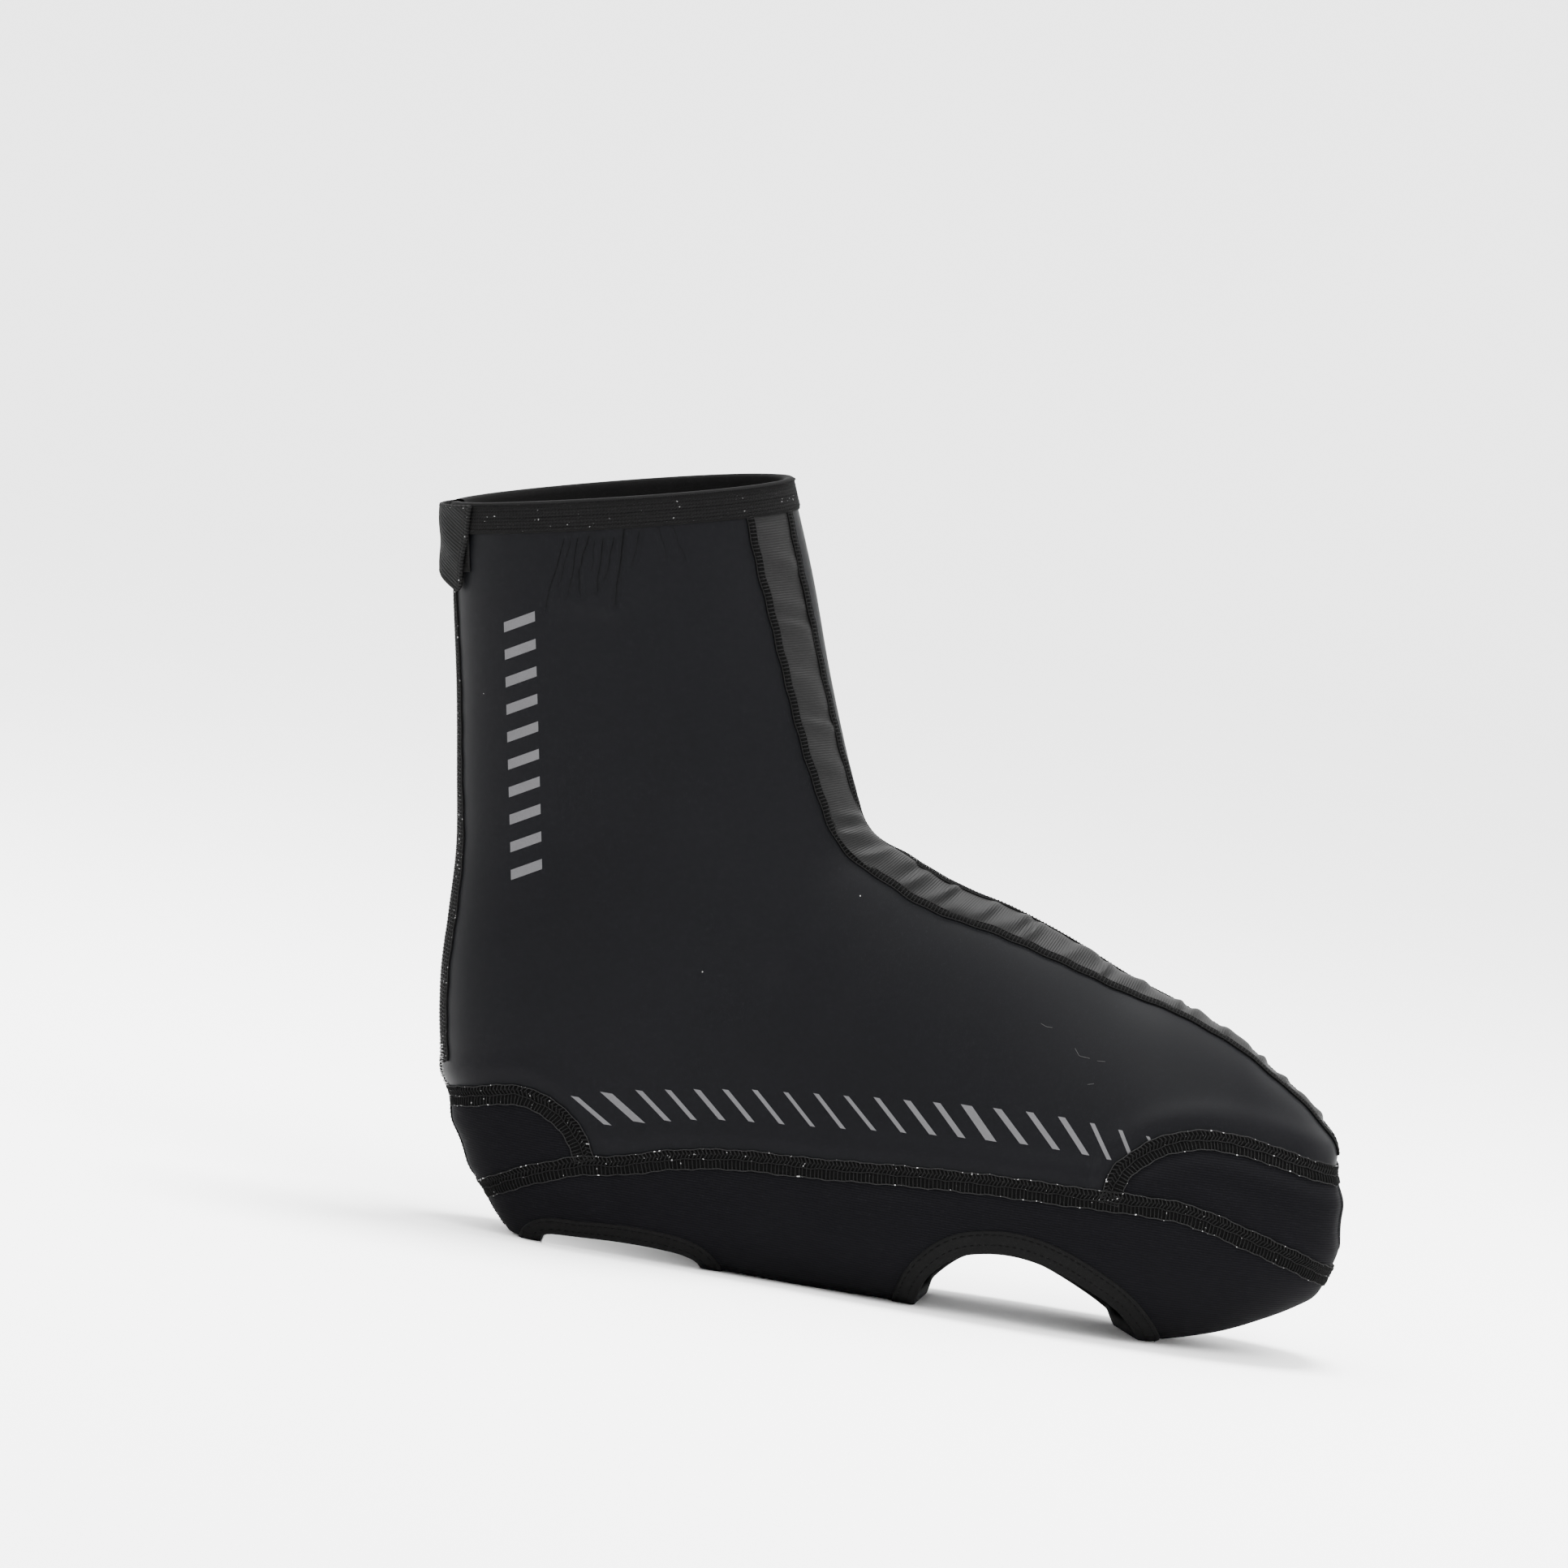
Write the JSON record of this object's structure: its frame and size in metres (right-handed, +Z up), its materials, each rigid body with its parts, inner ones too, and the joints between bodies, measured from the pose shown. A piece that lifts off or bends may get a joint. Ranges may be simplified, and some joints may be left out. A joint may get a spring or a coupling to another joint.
{
  "type": "cycling overshoe",
  "caption": "Ankle-high hollow overshoe of coated stretch foam with cut-outs for heel and cleat, rear zip and strapped collar.",
  "frame": {"origin": "middle of the overshoe's bounding box in plan, on the floor that it stands on", "axes": "+X to the toe, +Z up, -Y the outer side of the right foot, +Y its inner side"},
  "size_m": [0.3322, 0.087, 0.2604],
  "materials": {
    "coated_foam": "black coated stretch foam, fine matt grain with a soft sheen",
    "stretch_fabric": "black ribbed stretch knit over foam, matt",
    "binding_tape": "black woven edge tape, matt, stitched",
    "seam_thread": "black flat-locked thread",
    "zip_tape": "black woven zip tape",
    "zip_plastic": "black nylon coil",
    "strap_webbing": "black twill tape",
    "hook_fabric": "black hook tape"
  },
  "bodies": {
    "root": {"upper": "coated_foam", "front_strip": "stretch_fabric", "heel_panel": "stretch_fabric", "toe_panel": "stretch_fabric", "underfoot": "stretch_fabric", "collar_binding": "binding_tape", "heel_opening_binding": "binding_tape", "cleat_opening_binding": "binding_tape", "side_seam": "seam_thread", "heel_seam": "seam_thread", "toe_seam": "seam_thread", "front_seam_outer": "seam_thread", "front_seam_inner": "seam_thread", "zip_tape": "zip_tape", "zip_coil": "zip_plastic", "zip_edge_outer": "binding_tape", "zip_edge_inner": "binding_tape", "closure_strap": "strap_webbing", "hook_patch": "hook_fabric"}
  },
  "joints": []
}
